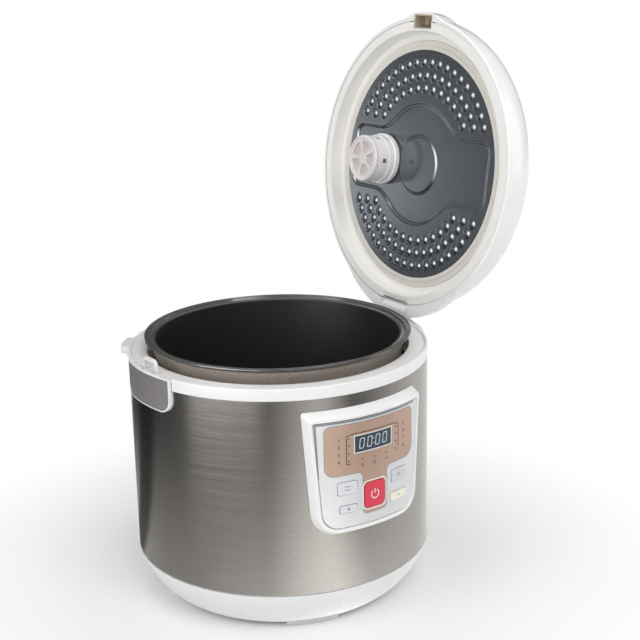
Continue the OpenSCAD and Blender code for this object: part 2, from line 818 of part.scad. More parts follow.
module lid_gasket() {
  color([0.82, 0.78, 0.74]) lid_pose() rotate_extrude()
    polygon([[plate_r + 0.1, 254.9], [117.4, 254.6], [118.4, 256], [123.4, 256], [123.4, 258.3],
      [plate_r + 0.1, 258.3]]);
}

module valve_body() {
  color(white) lid_pose() translate([0, valve_y, 0]) difference() {
    rotate_extrude() polygon([[13, 298.8], [13, 251], [22.4, 251], [22.4, 244], [24.6, 244], [24.6, 249.6],
      [26, 250.2], [26, 254.3], [16.8, 254.3], [16.8, 298.8]]);
    for (a = [-60, 120]) rotate([0, 0, a]) block([-2.6, 20, 245], [2.6, 30, 249]);
  }
}

module valve_seal() {
  color([0.80, 0.78, 0.76]) lid_pose() translate([0, valve_y, 0]) tube(17, 24, 254.3, plate_z + plate_step);
}

module valve_cap() {
  low = 226.2;
  color([0.92, 0.92, 0.91]) lid_pose() translate([0, valve_y, 0]) difference() {
    rotate_extrude() polygon([[0, low + 0.8], [20.4, low + 0.8], [20.8, low], [22.4, low], [23.4, low + 1],
      [23.4, 243.9], [22.3, 243.9], [22.3, 250.8], [20.9, 250.8], [20.9, low + 2.4], [0, low + 2.4]]);
    for (i = [0:4]) rotate([0, 0, 72 * i]) difference() {
      tube_arc(6.6, 17.4, 220, 235, 26);
    }
    for (a = [-66, 114]) rotate([0, 0, a]) block([-2.2, 18, 235.5], [2.2, 30, 239.5]);
  }
}

module steam_cap() {
  low = 301.4;
  color(white) lid_pose() translate([0, valve_y, 0]) difference() {
    rotate_extrude() polygon([[0, low + 6.4], [28.2, low + 5], [28.2, low], [30, low], [30, low + 5.4],
      [28.6, low + 6.8], [0, low + 8.2]]);
    for (i = [0:5]) rotate([0, 0, 60 * i]) tube_arc(13, 16, 300, 315, 20);
  }
}

module keeper_box() {
  color([0.72, 0.64, 0.52]) lid_pose() difference() {
    block([-147.2, -13.6, rim_z + 0.4], [-133.8, 13.6, 258.6]);
    block([-146.2, -12.6, rim_z - 1], [-134.8, 12.6, 257.4]);
  }
}

module latch_keeper() {
  color("silver") lid_pose() {
    block([-144, -6, 256.1], [-135.1, 6, 257.4]);
    block([-136.5, -6, 247.2], [-135.1, 6, 257.4]);
    block([-138.3, -6, 247.2], [-135.1, 6, 248.8]);
  }
}

base_shell();
bottom_plate();
feet();
base_screws();
body_sleeve();
top_ring();
inner_liner();
liner_brackets();
heating_plate();
heating_element();
sensor_guide();
sensor_button();
sensor_spring();
thermal_fuse();
power_board();
power_components();
inlet_socket();
inlet_pins();
panel_bezel();
panel_carrier();
panel_overlay();
display_window();
display_module();
control_board();
key_switches();
key_start();
key_left_upper();
key_left_lower();
key_right_upper();
key_right_lower();
latch_lever();
latch_pin();
latch_spring();
spoon_holder_lug();
hinge_springs();
hinge_pin();
lid_shell();
lid_frame();
inner_plate();
lid_gasket();
valve_body();
valve_seal();
valve_cap();
steam_cap();
keeper_box();
latch_keeper();
inner_pot();
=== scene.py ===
"""Looks of a round rice cooker with its lid open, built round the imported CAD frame.

Metres, the CAD's frame: +Z up, the control panel faces -Y, the lid hinge is at +X.
"""

import json
from math import asin, cos, pi, radians, sin, sqrt

import bmesh
import bpy
import numpy as np
from mathutils import Matrix, Vector


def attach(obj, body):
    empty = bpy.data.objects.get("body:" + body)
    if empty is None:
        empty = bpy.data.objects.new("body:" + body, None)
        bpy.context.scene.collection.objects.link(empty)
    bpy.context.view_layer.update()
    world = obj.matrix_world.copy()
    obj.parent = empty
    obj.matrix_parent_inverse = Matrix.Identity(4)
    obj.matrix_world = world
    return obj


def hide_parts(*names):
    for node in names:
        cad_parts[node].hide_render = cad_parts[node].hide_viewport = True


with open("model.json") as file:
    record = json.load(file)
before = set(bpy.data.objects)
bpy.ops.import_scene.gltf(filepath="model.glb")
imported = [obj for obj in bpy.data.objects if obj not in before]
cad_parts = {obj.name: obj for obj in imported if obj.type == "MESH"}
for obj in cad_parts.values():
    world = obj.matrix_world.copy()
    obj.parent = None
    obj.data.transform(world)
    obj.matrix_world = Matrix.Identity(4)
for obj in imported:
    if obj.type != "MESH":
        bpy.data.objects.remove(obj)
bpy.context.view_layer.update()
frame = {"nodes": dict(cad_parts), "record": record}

MM = 0.001

# ---------- sizes shared with the CAD frame ----------

SLEEVE_R = 144 * MM
OVERLAY_R = 152.4 * MM
LATCH_R = 146.8 * MM

lid_hinge = next(j for j in frame["record"]["behaviour"]["joints"] if j["name"] == "lid_hinge")
HINGE = Vector(lid_hinge["pos_m"])
LID_OPEN = -radians(min(lid_hinge["range_deg"]))
LID_POSE = Matrix.Translation(HINGE) @ Matrix.Rotation(LID_OPEN, 4, "Y") @ Matrix.Translation(-HINGE)
LID_BACK = LID_POSE.to_3x3() @ Vector((0, 0, 1))

# pieces of the lid are drawn in the closed lid's millimetres and taken to the open pose by this
FROM_CLOSED_LID = LID_POSE @ Matrix.Scale(MM, 4)
VALVE_Y = 54


# ---------- material nodes ----------

class Nodes:
    """A short way to write a material's node tree."""

    def __init__(self, name):
        self.material = bpy.data.materials.new(name)
        self.material.use_nodes = True
        self.tree = self.material.node_tree
        self.shader = self.tree.nodes["Principled BSDF"]

    @classmethod
    def of_tree(cls, tree):
        made = cls.__new__(cls)
        made.tree = tree
        return made

    def node(self, kind, inputs=None, **settings):
        made = self.tree.nodes.new(kind)
        for key, value in settings.items():
            setattr(made, key, value)
        for key, value in (inputs or {}).items():
            self.put(made.inputs[key], value)
        return made

    def put(self, socket, value):
        if isinstance(value, bpy.types.NodeSocket):
            self.tree.links.new(value, socket)
        elif isinstance(value, (tuple, list)) and socket.type == "RGBA" and len(value) == 3:
            socket.default_value = (*value, 1)
        else:
            socket.default_value = value

    def set(self, **inputs):
        for key, value in inputs.items():
            self.put(self.shader.inputs[key.replace("_", " ")], value)

    def math(self, operation, a, b=0.0):
        made = self.node("ShaderNodeMath", operation=operation)
        self.put(made.inputs[0], a)
        self.put(made.inputs[1], b)
        return made.outputs[0]

    def times(self, first, *others):
        for other in others:
            first = self.math("MULTIPLY", first, other)
        return first

    def plus(self, first, *others):
        for other in others:
            first = self.math("ADD", first, other)
        return first

    def noise(self, vector, scale, detail=3, roughness=0.55):
        made = self.node("ShaderNodeTexNoise", {"Vector": vector, "Scale": scale, "Detail": detail,
                                                "Roughness": roughness})
        return made.outputs["Fac"]

    def remap(self, value, low, high, from_low=0.3, from_high=0.7):
        made = self.node("ShaderNodeMapRange", {"Value": value, "From Min": from_low, "From Max": from_high,
                                                "To Min": low, "To Max": high})
        return made.outputs[0]

    def mix(self, factor, a, b):
        """Blend of two colours; 0, 6 and 7 are the node's sockets for factor and colours."""
        made = self.node("ShaderNodeMix", {0: factor}, data_type="RGBA")
        self.put(made.inputs[6], a)
        self.put(made.inputs[7], b)
        return made.outputs[2]

    def place(self):
        return self.node("ShaderNodeTexCoord").outputs["Object"]

    def split(self, vector):
        return self.node("ShaderNodeSeparateXYZ", {0: vector}).outputs

    def away(self, x, y):
        """Distance from the upright axis."""
        return self.math("SQRT", self.plus(self.times(x, x), self.times(y, y)))

    def compass(self, x, y):
        """Angle round the upright axis in degrees, from -Y towards +X."""
        return self.times(self.math("ARCTAN2", x, self.times(y, -1.0)), 180 / pi)

    def between(self, value, rise, fall):
        """1 between two soft edges and 0 outside them; each edge is given by its start and end."""
        return self.times(self.remap(value, 0, 1, *rise), self.remap(value, 1, 0, *fall))

    def bump(self, height, strength, distance):
        made = self.node("ShaderNodeBump", {"Height": height, "Strength": strength, "Distance": distance})
        return made.outputs[0]

    def soften(self, weight):
        """Lets a little light into the plastic."""
        self.set(Subsurface_Weight=weight, Subsurface_Radius=(0.006, 0.005, 0.004), Subsurface_Scale=0.5)


def shade(colour, factor):
    return tuple(min(1.0, c * factor) for c in colour)


def moulded(name, colour, rough=0.28, grain=1400, depth=0.02, tint=0.015, coat=0.0, soft=0.0):
    """Injection-moulded plastic: faint mottling and fine orange peel."""
    n = Nodes(name)
    place = n.place()
    cloud = n.remap(n.noise(place, 7, 1), 0, 1, 0.1, 0.9)
    n.set(Base_Color=n.mix(cloud, shade(colour, 1 - tint), colour))
    n.set(Roughness=n.remap(n.noise(place, 16, 1), rough * 0.9, rough * 1.1, 0.1, 0.9))
    n.set(Normal=n.bump(n.noise(place, grain, 2), depth, 0.0002))
    n.set(Coat_Weight=coat, Coat_Roughness=0.06)
    if soft:
        n.soften(soft)
    return n.material


def metal(name, colour, rough=0.3, grain=300, depth=0.03, tint=0.12):
    """Plain or cast metal with a fine surface grain and a little tarnish."""
    n = Nodes(name)
    place = n.place()
    stain = n.noise(place, 35, 5)
    n.set(Base_Color=n.mix(n.remap(stain, 0, 1), shade(colour, 1 - tint), colour), Metallic=1.0)
    n.set(Roughness=n.remap(n.noise(place, 90, 4), rough * 0.8, rough * 1.25))
    n.set(Normal=n.bump(n.noise(place, grain, 3), depth, 0.0003))
    return n.material


def round_place(n, across, around):
    """Coordinates that run round the body: long grain around it, fine grain up it."""
    x, y, z = n.split(n.place())
    angle = n.math("ARCTAN2", x, y)
    made = n.node("ShaderNodeCombineXYZ", {"X": n.times(angle, around), "Y": n.times(z, across)})
    return made.outputs[0]


def brushed_sleeve():
    """Steel sheet brushed round the body, which stretches what it mirrors up and down."""
    n = Nodes("sleeve_steel")
    hair = n.noise(round_place(n, 5200, 2.2), 1.0, 4, 0.7)
    streak = n.noise(round_place(n, 1900, 26), 1.0, 3, 0.65)
    coarse = n.noise(round_place(n, 900, 1.1), 1.0, 3)
    stain = n.noise(n.place(), 9, 3)
    steel = n.mix(n.remap(hair, 0, 1, 0.25, 0.75), (0.34, 0.325, 0.305), (0.45, 0.435, 0.415))
    steel = n.mix(n.remap(streak, 0.0, 0.45), steel, (0.27, 0.258, 0.242))
    steel = n.mix(n.remap(stain, 0.0, 0.15), steel, (0.33, 0.315, 0.30))
    n.set(Base_Color=steel, Metallic=1.0)
    n.set(Roughness=n.remap(coarse, 0.20, 0.27))
    n.set(Anisotropic=0.7, Anisotropic_Rotation=0.25)
    tangent = n.node("ShaderNodeTangent", direction_type="RADIAL", axis="Z")
    n.set(Tangent=tangent.outputs[0])
    n.set(Normal=n.bump(hair, 0.05, 0.0002))
    return n.material


LINING_R, POT_RIM_Z = 119.2 * MM, 252.3 * MM


def pot_coating():
    """Dark speckled non-stick inside, gloss on the rim, satin bronze-grey outside."""
    n = Nodes("pot_coating")
    place = n.place()
    x, y, z = n.split(place)
    radius = n.away(x, y)
    normal = n.node("ShaderNodeNewGeometry").outputs["Normal"]
    # the lining is what faces inwards or up, within the pot's wall
    down_and_out = n.node("ShaderNodeCombineXYZ", {"X": n.math("DIVIDE", x, radius),
                                                   "Y": n.math("DIVIDE", y, radius), "Z": -1.0})
    faces_out = n.node("ShaderNodeVectorMath", {0: normal, 1: down_and_out.outputs[0]},
                       operation="DOT_PRODUCT").outputs["Value"]
    lined = n.times(n.math("LESS_THAN", radius, LINING_R), n.math("LESS_THAN", faces_out, -0.1))
    rim = n.math("GREATER_THAN", z, POT_RIM_Z)
    speck = n.remap(n.noise(place, 1700, 2), 0, 1, 0.60, 0.72)
    lining = n.mix(speck, (0.012, 0.012, 0.012), (0.04, 0.04, 0.038))
    cloud = n.remap(n.noise(place, 30, 4), 0, 1)
    shell = n.mix(cloud, (0.42, 0.37, 0.33), (0.48, 0.425, 0.38))
    shell = n.mix(rim, shell, (0.10, 0.095, 0.09))
    n.set(Base_Color=n.mix(lined, shell, lining))
    n.set(Metallic=n.remap(lined, 0.45, 0.0, 0, 1), Specular_IOR_Level=n.remap(lined, 0.5, 0.2, 0, 1))
    grain = n.noise(place, 1100, 3)
    satin = n.remap(grain, 0.24, 0.34)
    gloss = n.remap(grain, 0.11, 0.15)
    matte = n.remap(grain, 0.40, 0.54)
    n.set(Roughness=n.mix(lined, n.mix(rim, satin, gloss), matte))
    n.set(Coat_Weight=n.times(rim, 0.6), Coat_Roughness=0.06)
    n.set(Normal=n.bump(grain, 0.06, 0.0002))
    return n.material


def plate_metal():
    """Dark anodised sheet with a gloss and faint rolled grain."""
    n = Nodes("plate_metal")
    place = n.place()
    grain = n.noise(place, 500, 3)
    cloud = n.noise(place, 14, 4)
    slate = n.mix(n.remap(cloud, 0, 1), (0.17, 0.185, 0.205), (0.20, 0.215, 0.235))
    n.set(Base_Color=slate, Metallic=0.8)
    n.set(Roughness=n.remap(grain, 0.15, 0.21))
    n.set(Normal=n.bump(grain, 0.01, 0.0001))
    return n.material


def film_colour(name, low, high, rough=0.3):
    """Printed metallic film under a clear gloss."""
    n = Nodes(name)
    place = n.place()
    flake = n.noise(place, 5000, 2)
    cloud = n.noise(place, 18, 3)
    colour = n.mix(n.remap(cloud, 0, 1), low, high)
    colour = n.mix(n.remap(flake, 0.0, 0.25), colour, shade(high, 1.12))
    n.set(Base_Color=colour, Metallic=0.35)
    n.set(Roughness=n.remap(flake, rough * 0.9, rough * 1.15))
    n.set(Coat_Weight=0.6, Coat_Roughness=0.05)
    n.set(Normal=n.bump(cloud, 0.01, 0.0005))
    return n.material


def board_green():
    """Circuit board: solder mask with faint tracks."""
    n = Nodes("board_green")
    place = n.place()
    tracks = n.node("ShaderNodeTexBrick", {"Vector": place, "Scale": 160.0, "Mortar Size": 0.06,
                                           "Color1": (0.02, 0.12, 0.05), "Color2": (0.02, 0.16, 0.06),
                                           "Mortar": (0.10, 0.26, 0.10)})
    n.set(Base_Color=tracks.outputs[0])
    n.set(Roughness=n.remap(n.noise(place, 300, 3), 0.35, 0.5))
    n.set(Normal=n.bump(tracks.outputs[1], 0.1, 0.0001))
    return n.material


CAP_FACE_DROP = 19.6 * MM


def cap_milky():
    """Milky plastic that turns pinkish on the cap's face, the part lowest in the closed lid."""
    n = Nodes("cap_milky")
    place = n.place()
    back = n.node("ShaderNodeVectorMath", {0: place, 1: LID_BACK}, operation="DOT_PRODUCT").outputs["Value"]
    on_face = n.math("LESS_THAN", back, HINGE.dot(LID_BACK) - CAP_FACE_DROP)
    cloud = n.remap(n.noise(place, 40, 3), 0, 1)
    side = n.mix(cloud, (0.83, 0.815, 0.81), (0.87, 0.855, 0.85))
    face = n.mix(cloud, (0.72, 0.665, 0.655), (0.77, 0.72, 0.71))
    n.set(Base_Color=n.mix(on_face, side, face), Roughness=n.remap(cloud, 0.22, 0.28, 0, 1))
    n.set(Normal=n.bump(n.noise(place, 1400, 2), 0.02, 0.0002))
    n.soften(0.15)
    return n.material


white = moulded("white_gloss", (0.86, 0.86, 0.855), 0.22, coat=0.15, soft=0.06)
shell_white = moulded("lid_white", (0.885, 0.88, 0.87), 0.20, coat=0.2, soft=0.05)
base_white = moulded("base_white", (0.80, 0.80, 0.80), 0.28, soft=0.04)
cream = moulded("cream_plastic", (0.90, 0.885, 0.845), 0.24, coat=0.1, soft=0.08)
lug_white = moulded("lug_white", (0.78, 0.73, 0.73), 0.26, soft=0.12)
milky = moulded("milky_plastic", (0.86, 0.845, 0.84), 0.24, soft=0.15)
cap_plastic = cap_milky()
milky_pink = moulded("milky_recess", (0.64, 0.57, 0.56), 0.34, soft=0.15)
loop_clear = moulded("latch_plastic", (0.84, 0.83, 0.83), 0.18, soft=0.2)
silicone = moulded("silicone", (0.74, 0.715, 0.655), 0.42, grain=900, depth=0.04, soft=0.2)
underside = moulded("underside_plastic", (0.70, 0.70, 0.69), 0.55, grain=600, depth=0.12)
foot_grey = moulded("foot_plastic", (0.66, 0.66, 0.66), 0.45, grain=700, depth=0.08)
black_plastic = moulded("black_plastic", (0.035, 0.035, 0.038), 0.42, grain=700, depth=0.1)
tray_grey = moulded("tray_plastic", (0.075, 0.08, 0.09), 0.40)
display_white = moulded("display_plastic", (0.80, 0.80, 0.78), 0.45)
pocket_beige = moulded("pocket_plastic", (0.56, 0.46, 0.34), 0.4)
window_brown = moulded("window_brown", (0.19, 0.11, 0.075), 0.35)
red_key = moulded("red_key", (0.74, 0.045, 0.085), 0.24, tint=0.08, coat=0.3)
grey_key = moulded("silver_key", (0.70, 0.715, 0.745), 0.26, coat=0.3)
pale_key = moulded("pale_key", (0.62, 0.655, 0.70), 0.26, coat=0.3)
cream_key = moulded("cream_key", (0.86, 0.84, 0.70), 0.24, coat=0.3)
print_dark = moulded("print_dark", (0.045, 0.04, 0.04), 0.4)
print_brown = moulded("print_brown", (0.05, 0.032, 0.026), 0.4)
print_white = moulded("print_white", (0.85, 0.85, 0.83), 0.35)
print_grey = moulded("print_grey", (0.26, 0.27, 0.29), 0.4)
digit_pale = moulded("digit_pale", (0.56, 0.63, 0.68), 0.35)
silver_film = film_colour("silver_film", (0.70, 0.71, 0.715), (0.76, 0.77, 0.77))
# painted shadow: dark blue-grey film for the strips where the bezel's edge shades the overlay
bezel_shadow_film = film_colour("bezel_shadow_film", (0.17, 0.20, 0.25), (0.22, 0.25, 0.30))
copper_film = film_colour("copper_film", (0.50, 0.335, 0.255), (0.56, 0.385, 0.30))
latch_silver = film_colour("latch_silver", (0.31, 0.295, 0.285), (0.35, 0.335, 0.325), 0.26)
window_dark = moulded("window_dark", (0.045, 0.065, 0.09), 0.12, coat=0.8)
sleeve_steel = brushed_sleeve()
bright_steel = metal("bright_steel", (0.72, 0.72, 0.72), 0.18)
zinc = metal("zinc_plated", (0.60, 0.60, 0.59), 0.32)
well_metal = metal("well_metal", (0.68, 0.68, 0.67), 0.34)
cast_metal = metal("cast_metal", (0.56, 0.56, 0.56), 0.48, grain=500, depth=0.15)
sheath = metal("element_sheath", (0.18, 0.17, 0.17), 0.55, grain=600, depth=0.1)
fuse_ceramic = moulded("fuse_ceramic", (0.70, 0.66, 0.55), 0.6, grain=900, depth=0.1)
coated = pot_coating()
slate = plate_metal()
green = board_green()

NODE_MATERIAL = {
    "base_shell": base_white, "bottom_plate": underside, "feet": foot_grey, "base_screws": zinc,
    "body_sleeve": sleeve_steel, "top_ring": white, "inner_liner": well_metal, "liner_brackets": zinc,
    "heating_plate": cast_metal, "heating_element": sheath, "sensor_guide": zinc, "sensor_button": well_metal,
    "sensor_spring": bright_steel, "thermal_fuse": fuse_ceramic, "power_board": green,
    "power_components": black_plastic, "inlet_socket": black_plastic, "inlet_pins": bright_steel,
    "panel_bezel": white, "panel_carrier": tray_grey, "panel_overlay": silver_film,
    "display_window": window_dark, "display_module": display_white, "control_board": green,
    "key_switches": black_plastic, "key_start": red_key, "key_left_upper": grey_key,
    "key_left_lower": grey_key, "key_right_upper": pale_key, "key_right_lower": cream_key,
    "latch_lever": loop_clear, "latch_pin": zinc, "latch_spring": bright_steel, "spoon_holder_lug": lug_white,
    "hinge_springs": bright_steel, "hinge_pin": zinc, "lid_shell": shell_white, "lid_frame": cream,
    "inner_plate": slate, "lid_gasket": silicone, "valve_body": milky, "valve_seal": silicone,
    "valve_cap": cap_plastic, "steam_cap": shell_white, "keeper_box": pocket_beige,
    "latch_keeper": bright_steel, "inner_pot": coated,
}


# ---------- mesh helpers ----------

def body_of_node(node):
    bodies = frame["record"]["behaviour"]["bodies"]
    return next(body for body, names in bodies.items() if node in names)


def link(name, mesh, material):
    piece = bpy.data.objects.new(name, mesh)
    bpy.context.collection.objects.link(piece)
    mesh.materials.append(material)
    return piece


def finish_mesh(bm, name, material, body, smooth_angle=35):
    """Turns a bmesh into a piece that rides on a body, smooth except at sharp edges."""
    bmesh.ops.recalc_face_normals(bm, faces=bm.faces)
    for face in bm.faces:
        face.smooth = True
    for edge in bm.edges:
        sharp = len(edge.link_faces) != 2 or edge.calc_face_angle(0) > radians(smooth_angle)
        edge.smooth = not sharp
    mesh = bpy.data.meshes.new(name)
    bm.to_mesh(mesh)
    bm.free()
    piece = link(name, mesh, material)
    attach(piece, body)
    return piece


def dressed(node, bevel=0.0, segments=2, smooth_angle=30):
    """A smooth-shaded copy of a CAD node with its sharp edges rounded; it stands for the node."""
    bm = bmesh.new()
    bm.from_mesh(frame["nodes"][node].data)
    bmesh.ops.remove_doubles(bm, verts=bm.verts, dist=0.5e-6)
    bmesh.ops.dissolve_limit(bm, angle_limit=radians(0.4), verts=bm.verts, edges=bm.edges,
                             delimit={"SHARP"})
    piece = finish_mesh(bm, node + "_dressed", NODE_MATERIAL[node], body_of_node(node),
                        smooth_angle)
    if bevel:
        round_edges = piece.modifiers.new("rounded edges", "BEVEL")
        round_edges.width = bevel
        round_edges.segments = segments
        round_edges.limit_method = "ANGLE"
        round_edges.angle_limit = radians(smooth_angle)
        round_edges.harden_normals = True
        round_edges.use_clamp_overlap = True
    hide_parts(node)


def round_path(corners, radii, steps=6):
    """Closed outline with its corners turned into arcs; one radius for all, or one for each corner."""
    outline = []
    count = len(corners)
    for i, corner in enumerate(corners):
        here = Vector(corner)
        before = (Vector(corners[i - 1]) - here).normalized()
        after = (Vector(corners[(i + 1) % count]) - here).normalized()
        half = before.angle(after) / 2
        r = radii[i] if isinstance(radii, (list, tuple)) else radii
        centre = here + (before + after).normalized() * (r / sin(half))
        start = here + before * (r * cos(half) / sin(half)) - centre
        turn = pi - 2 * half
        side = 1 if before.x * after.y - before.y * after.x < 0 else -1
        for k in range(steps + 1):
            a = side * turn * k / steps
            outline.append(centre + Vector((start.x * cos(a) - start.y * sin(a),
                                            start.x * sin(a) + start.y * cos(a))))
    return outline


def on_panel(x, z, r):
    """Place on the panel's curve: x across it, z up, r from the body's axis, all in metres."""
    az = asin(max(-1, min(1, x / OVERLAY_R)))
    return Vector((r * sin(az), -r * cos(az), z))


def on_latch(x, z, r):
    """Place on the latch button's curve: x across it, z up."""
    return Vector((-sqrt(r * r - x * x), -x, z))


def on_back(x, z, r):
    """Place on the back of the body: x across it, z up."""
    return Vector((x, sqrt(r * r - x * x), z))


def bend_sheet(bm, thickness, base_r, place):
    """Gives a flat sheet in x and z its thickness and lays it on a curved face."""
    grown = bmesh.ops.extrude_face_region(bm, geom=bm.faces[:])
    front = {v for v in grown["geom"] if isinstance(v, bmesh.types.BMVert)}
    for v in bm.verts:
        v.co = place(v.co.x, v.co.z, base_r + (thickness if v in front else 0))


BEND_STEP, BENDS_EACH_WAY = 2.5 * MM, 24


def panel_sheet(name, outlines, thickness, material, body="base", base_r=OVERLAY_R, lift=0.0,
                place=on_panel):
    """Thin print or inlay laid on a curved face from outlines in x and z (metres).

    It is cut into narrow upright strips first, so that it can follow the curve.
    """
    bm = bmesh.new()
    for outline in outlines:
        bm.faces.new([bm.verts.new((p[0], 0, p[1])) for p in outline])
    for k in range(-BENDS_EACH_WAY, BENDS_EACH_WAY + 1):
        everything = bm.verts[:] + bm.edges[:] + bm.faces[:]
        bmesh.ops.bisect_plane(bm, geom=everything, plane_co=(k * BEND_STEP, 0, 0), plane_no=(1, 0, 0),
                               dist=1e-7)
    bend_sheet(bm, thickness, base_r + lift, place)
    return finish_mesh(bm, name, material, body)


def metres(points):
    """Points of an outline, given in millimetres in x and z."""
    return [(x * MM, z * MM) for x, z in points]


def rect(x0, z0, x1, z1):
    return metres([(x0, z0), (x1, z0), (x1, z1), (x0, z1)])


def bar(x, z, width, height):
    return rect(x - width / 2, z - height / 2, x + width / 2, z + height / 2)


def disc(x, z, r, sides=20):
    turns = [2 * pi * k / sides for k in range(sides)]
    return metres([(x + r * cos(a), z + r * sin(a)) for a in turns])


def line_strips(corners, width):
    """Straight strips along a chain of points, for printed lines."""
    strips = []
    for a, b in zip(corners, corners[1:]):
        along = (Vector(b) - Vector(a)).normalized() * width / 2
        across = Vector((-along.y, along.x))
        a, b = Vector(a) - along, Vector(b) + along
        strips.append([a - across, b - across, b + across, a + across])
    return strips


def loop_band(outline, width):
    """Quads between an outline and the same outline shrunk by a width."""
    count = len(outline)
    inner = []
    for i, p in enumerate(outline):
        before = (Vector(p) - Vector(outline[i - 1])).normalized()
        after = (Vector(outline[(i + 1) % count]) - Vector(p)).normalized()
        across = (Vector((-before.y, before.x)) + Vector((-after.y, after.x))).normalized()
        inner.append(Vector(p) + across * width)
    return [[outline[i], outline[(i + 1) % count], inner[(i + 1) % count], inner[i]] for i in range(count)]


# ---------- CAD nodes that keep their own mesh ----------

for node, obj in frame["nodes"].items():
    obj.data.materials.clear()
    obj.data.materials.append(NODE_MATERIAL[node])

# ---------- smooth, edge-rounded copies of what shows ----------

dressed("top_ring", 0.35 * MM)
dressed("feet", 0.5 * MM)
dressed("panel_bezel", smooth_angle=50)
dressed("latch_lever", 0.35 * MM)
dressed("spoon_holder_lug", 0.7 * MM, 3)
dressed("lid_shell", 0.4 * MM, smooth_angle=26)
dressed("lid_frame", 0.35 * MM)
dressed("valve_cap", 0.4 * MM, 3)
dressed("valve_body", 0.4 * MM)
dressed("steam_cap", 0.4 * MM)
dressed("inner_pot", 0.3 * MM)
dressed("body_sleeve")
dressed("lid_gasket", 0.4 * MM, 3)
for key in ("start", "left_upper", "left_lower", "right_upper", "right_lower"):
    dressed("key_" + key, 0.4 * MM, 3)

# ---------- smooth outside of the moulded bowl ----------

# millimetres, as in the CAD source
BOWL_R, BOWL_TOP, BOWL_LOW = 144.3, 44.5, 3.0
BOWL_CORNER, BOWL_BEND = 31.7, 1.433
SKIN_RISE, SKIN_THICK = 0.14, 0.3
SKIN_START, SKIN_END = radians(2.7), radians(87.3)
INLET_HALF, INLET_LOW, INLET_HIGH = 15.6, 16.4, 39.6


def bowl_point(t, around):
    """Place on the skin; t runs from the bowl's upper edge at 0 to its bottom at a quarter turn."""
    r = BOWL_R - BOWL_CORNER + SKIN_RISE + BOWL_CORNER * cos(t) ** BOWL_BEND
    z = BOWL_TOP - (BOWL_TOP - BOWL_LOW + SKIN_RISE) * sin(t) ** BOWL_BEND
    return Vector((r * sin(around), -r * cos(around), z)) * MM


def bowl_skin():
    """Gloss skin on the bowl's rounded outside, open where the inlet is."""
    sides, steps = 240, 44
    turns = [SKIN_START + (SKIN_END - SKIN_START) * i / steps for i in range(steps + 1)]
    bm = bmesh.new()
    grid = [[bm.verts.new(bowl_point(t, 2 * pi * k / sides)) for k in range(sides)] for t in turns]
    for i in range(steps):
        for k in range(sides):
            j = (k + 1) % sides
            corners = (grid[i][k], grid[i + 1][k], grid[i + 1][j], grid[i][j])
            middle = sum((c.co for c in corners), Vector()) / 4 / MM
            at_inlet = middle.y > 0 and abs(middle.x) < INLET_HALF and INLET_LOW < middle.z < INLET_HIGH
            if not at_inlet:
                bm.faces.new(corners)
    bmesh.ops.delete(bm, geom=[v for v in bm.verts if not v.link_faces], context="VERTS")
    bmesh.ops.recalc_face_normals(bm, faces=bm.faces)
    bmesh.ops.solidify(bm, geom=bm.faces, thickness=SKIN_THICK * MM)
    finish_mesh(bm, "bowl_skin", base_white, "base", 60)


bowl_skin()

# ---------- inner plate of the lid ----------

# the closed lid's millimetres
PLATE_R, PLATE_Z, PLATE_BACK_Z = 114.0, 255.2, 258.3
HUB_R, HUB_DEPTH, HUB_BLEND = 60, 1.6, 14
BAND_X, BAND_Y, BAND_CORNER = 22, 94, 10
CENTRE_R, CENTRE_RISE = 28.8, 1.4
# how far each step's slope reaches to both sides of its edge
HUB_SLOPE, CENTRE_SLOPE = (-1.6, 0.8), (-0.9, 0.9)
BUMP_R, BUMP_RISE, BUMP_SLOPE = 4.4, 1.6, 2.5
VALVE_HOLE_R = 17.2
# radius of the row, bumps on each side, degrees between two of them
BUMP_ROWS = ((102.3, 20, 6.65), (89.0, 17, 7.45), (76.5, 13, 9.0))


def step(d, low, high):
    """Smooth rise from 0 at low to 1 at high."""
    t = np.clip((d - low) / (high - low), 0, 1)
    return t * t * (3 - 2 * t)


def hub_distance(u, v):
    """Distance outside the sunk hub, which is a disc blended with a band across the plate."""
    qu, qv = np.abs(u) - BAND_X, np.abs(v) - BAND_Y
    band = np.minimum(np.maximum(qu, qv), 0) + np.hypot(np.maximum(qu, 0), np.maximum(qv, 0)) - BAND_CORNER
    disc_edge = np.hypot(u, v) - HUB_R
    blend = np.maximum(HUB_BLEND - np.abs(band - disc_edge), 0) / HUB_BLEND
    return np.minimum(band, disc_edge) - blend * blend * HUB_BLEND / 4


def plate_height(u, v):
    """Height of the plate's visible side over the closed lid's plan, in millimetres."""
    z = PLATE_Z + HUB_DEPTH * (1 - step(hub_distance(u, v), *HUB_SLOPE))
    z = z - CENTRE_RISE * (1 - step(np.hypot(u, v) - CENTRE_R, *CENTRE_SLOPE))
    rise = np.zeros_like(z)
    for radius, count, pitch in BUMP_ROWS:
        for side in (0, 180):
            for i in range(count):
                a = radians(side + pitch * (i - (count - 1) / 2))
                gap = np.hypot(u - radius * cos(a), v - radius * sin(a)) / BUMP_R
                rise = np.maximum(rise, BUMP_RISE * (1 - gap ** BUMP_SLOPE))
    return z - rise


